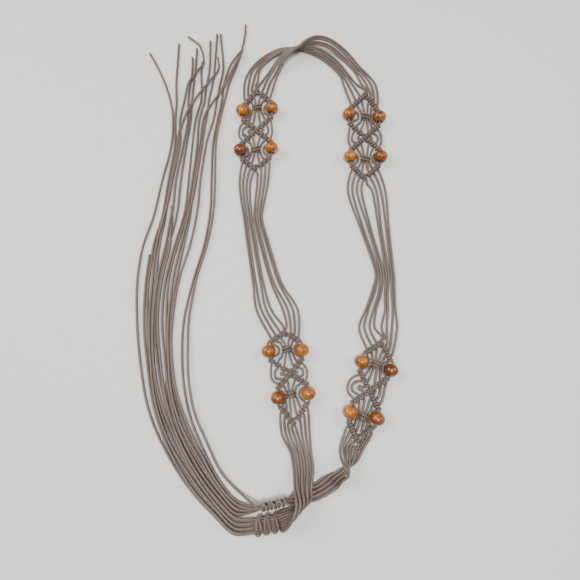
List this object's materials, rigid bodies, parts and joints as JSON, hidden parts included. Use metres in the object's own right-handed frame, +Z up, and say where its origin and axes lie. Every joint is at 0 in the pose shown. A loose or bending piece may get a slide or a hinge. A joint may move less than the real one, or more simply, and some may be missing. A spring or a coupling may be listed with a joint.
{
  "type": "macrame belt",
  "caption": "Macrame belt of knotted waxed cords with round wooden beads, lying folded over in an open loop with long free tails at both ends.",
  "frame": {"origin": "centre of the footprint, on the surface that the belt lies on", "axes": "+Y from the crossing of the two ends towards the arch, +Z up from the surface, +X towards the side away from the fringes"},
  "size_m": [0.1924, 0.3888, 0.0162],
  "materials": {
    "cord": "waxed, slightly glossy braided cord",
    "bead": "stained and varnished, glossy"
  },
  "bodies": {
    "root": {"panel_a": "cord", "bead_a_upper_left": "bead", "bead_a_upper_right": "bead", "bead_a_lower_left": "bead", "bead_a_lower_right": "bead", "panel_b": "cord", "bead_b_upper_left": "bead", "bead_b_upper_right": "bead", "bead_b_lower_left": "bead", "bead_b_lower_right": "bead", "panel_c": "cord", "bead_c_upper_left": "bead", "bead_c_upper_right": "bead", "bead_c_lower_left": "bead", "bead_c_lower_right": "bead", "panel_d": "cord", "bead_d_upper_left": "bead", "bead_d_upper_right": "bead", "bead_d_lower_left": "bead", "bead_d_lower_right": "bead", "span_a_c": "cord", "arch_a_b": "cord", "span_b_d": "cord", "end_c": "cord", "end_d": "cord", "sinnet_lower": "cord", "sinnet_upper": "cord", "fringe_lower": "cord", "fringe_upper": "cord"}
  },
  "joints": []
}
